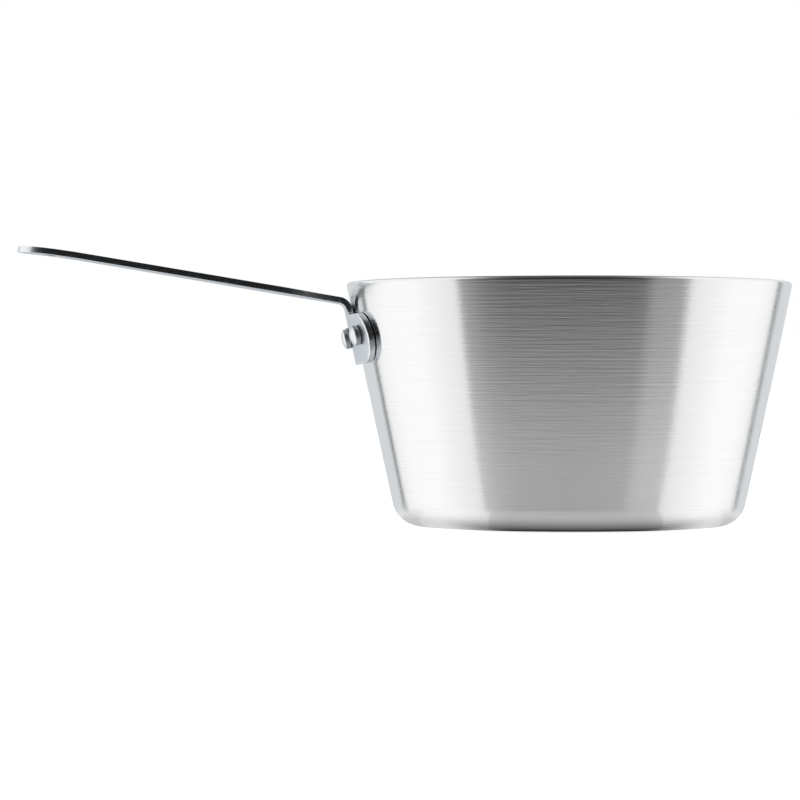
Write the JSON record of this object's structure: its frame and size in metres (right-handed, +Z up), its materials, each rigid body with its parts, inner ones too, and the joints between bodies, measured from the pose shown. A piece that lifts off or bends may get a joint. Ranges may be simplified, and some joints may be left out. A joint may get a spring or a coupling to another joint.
{
  "type": "melting pot",
  "caption": "Tapered aluminium melting pot with a flat base, a plain rim and a riveted flat steel strip handle that slopes up to a rounded end.",
  "frame": {"origin": "centre of the pot's base, on the plane it rests on", "axes": "+Z up, and the handle points along -X, so X is the pot's longest direction"},
  "size_m": [0.2854, 0.1644, 0.103],
  "materials": {
    "pot_aluminium": "fine brushing that runs round the pot",
    "plated_steel": "satin plating, with sheared edges",
    "rivet_aluminium": "satin"
  },
  "bodies": {
    "root": {"pot_body": "pot_aluminium", "handle": "plated_steel", "rivet_near": "rivet_aluminium", "rivet_middle": "rivet_aluminium", "rivet_far": "rivet_aluminium"}
  },
  "joints": []
}
